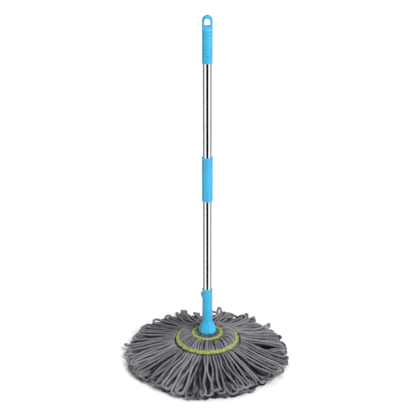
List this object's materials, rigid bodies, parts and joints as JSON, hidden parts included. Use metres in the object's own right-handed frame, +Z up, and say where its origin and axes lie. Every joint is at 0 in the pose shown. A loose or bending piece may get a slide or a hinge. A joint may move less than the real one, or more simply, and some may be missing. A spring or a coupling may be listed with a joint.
{
  "type": "twist mop",
  "caption": "Self-wringing mop: steel tube pole with hanging handle, a bell-ended sleeve that slides and twists, and a round looped-yarn head.",
  "frame": {"origin": "on the tube's axis, at the floor that the yarn head rests on", "axes": "+Z up along the tube towards the hanging handle; the hanging slot runs along Y; the release lever is on the -X side"},
  "size_m": [0.576, 0.576, 1.2],
  "materials": {
    "blue_plastic": "injection-moulded polypropylene, satin gloss",
    "steel_tube": "mirror-polished stainless steel tube",
    "white_plastic": "moulded nylon, matt",
    "zinc_steel": "bright zinc-plated steel",
    "grey_yarn": "plied microfibre yarn",
    "green_tape": "woven tape with stitching",
    "black_rubber": "moulded rubber"
  },
  "bodies": {
    "pole": {"hanging_handle": "blue_plastic", "upper_tube": "steel_tube", "thread_socket": "white_plastic", "thread_stud": "white_plastic", "middle_grip": "blue_plastic", "lower_tube": "steel_tube", "foot_socket": "blue_plastic", "foot_plug": "white_plastic", "foot_plate": "blue_plastic", "plate_screws": "zinc_steel", "hub_screw": "zinc_steel", "hub_washer": "zinc_steel", "yarn_skirt": "grey_yarn"},
    "runner": {"slide_liner": "blue_plastic", "liner_retainer": "zinc_steel", "yarn_neck": "grey_yarn", "inner_tape": "green_tape", "outer_tape": "green_tape"},
    "sleeve": {"bell_sleeve": "blue_plastic", "upper_yarn_ring": "blue_plastic", "ring_screws": "zinc_steel", "lever_pin": "zinc_steel", "lever_spring": "zinc_steel"},
    "lever": {"release_lever": "blue_plastic", "brake_shoe": "black_rubber"}
  },
  "joints": [
    {"name": "sleeve_lift", "type": "slide", "parent": "pole", "child": "runner", "axis": [0, 0, 1], "range_m": [0, 0.3], "deforming": ["yarn_skirt"]},
    {"name": "sleeve_twist", "type": "hinge", "parent": "runner", "child": "sleeve", "pos_m": [0, 0, 0.184], "axis": [0, 0, 1], "range_deg": [-120, 120], "deforming": ["yarn_neck"]},
    {"name": "lever_press", "type": "hinge", "parent": "sleeve", "child": "lever", "pos_m": [-0.01816, 0, 0.246], "axis": [0, 1, 0], "range_deg": [0, 12], "stiffness_Nm_per_rad": 0.05, "springref_deg": -11.46, "deforming": ["lever_spring"]}
  ]
}
